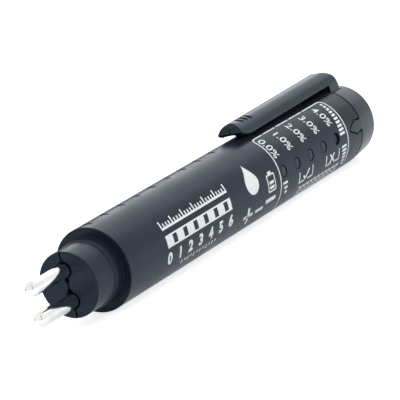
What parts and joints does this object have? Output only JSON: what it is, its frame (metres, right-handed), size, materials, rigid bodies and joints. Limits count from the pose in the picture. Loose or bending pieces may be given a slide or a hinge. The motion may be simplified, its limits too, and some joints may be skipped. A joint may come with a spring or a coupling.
{
  "type": "brake fluid tester",
  "caption": "Pen-shaped brake fluid tester with probe pins at the nose, a row of lamps along one side, a pocket clip and a push button at the rear.",
  "frame": {"origin": "centre of the bounding box in X and Y, on the ground that the pen lies on", "axes": "+X along the pen from the probe pins to the push button, +Z towards the pocket clip, -Y towards the lamps"},
  "size_m": [0.1572, 0.022, 0.0271],
  "materials": {
    "case": "satin",
    "button": "matte",
    "pin": "bright nickel",
    "strip": "bright",
    "steel": "bright",
    "board": "glass-filled resin with a green coat",
    "lens": "smoked and clear",
    "resin": "moulded black",
    "seal": "matte",
    "can": "drawn metal with a thin sleeve"
  },
  "bodies": {
    "barrel": {"shell_lamp_side": "case", "shell_back_side": "case", "probe_pin_upper": "pin", "probe_pin_lower": "pin", "pin_seal": "seal", "pin_lead_upper": "strip", "pin_lead_lower": "strip", "circuit_board": "board", "controller_chip": "resin", "capacitor": "can", "resistor_1": "resin", "resistor_2": "resin", "resistor_3": "resin", "lamp_1": "lens", "lamp_2": "lens", "lamp_3": "lens", "lamp_4": "lens", "lamp_5": "lens", "battery_cell": "can", "front_contact": "steel", "contact_strip": "strip"},
    "cap": {"rear_cap": "case", "cell_spring": "steel", "switch_board": "board", "switch_body": "resin"},
    "clip": {"pocket_clip": "case"},
    "button": {"push_button": "button", "switch_stem": "resin"}
  },
  "joints": [
    {"name": "cap_pull", "type": "slide", "parent": "barrel", "child": "cap", "axis": [1, 0, 0], "range_m": [0, 0.016]},
    {"name": "clip_flex", "type": "hinge", "parent": "cap", "child": "clip", "pos_m": [0.07147, 0, 0.0218], "axis": [0, 1, 0], "range_deg": [0, 5], "stiffness_Nm_per_rad": 1.7},
    {"name": "button_press", "type": "slide", "parent": "cap", "child": "button", "axis": [-1, 0, 0], "range_m": [0, 0.0006], "stiffness_N_per_m": 3300}
  ]
}
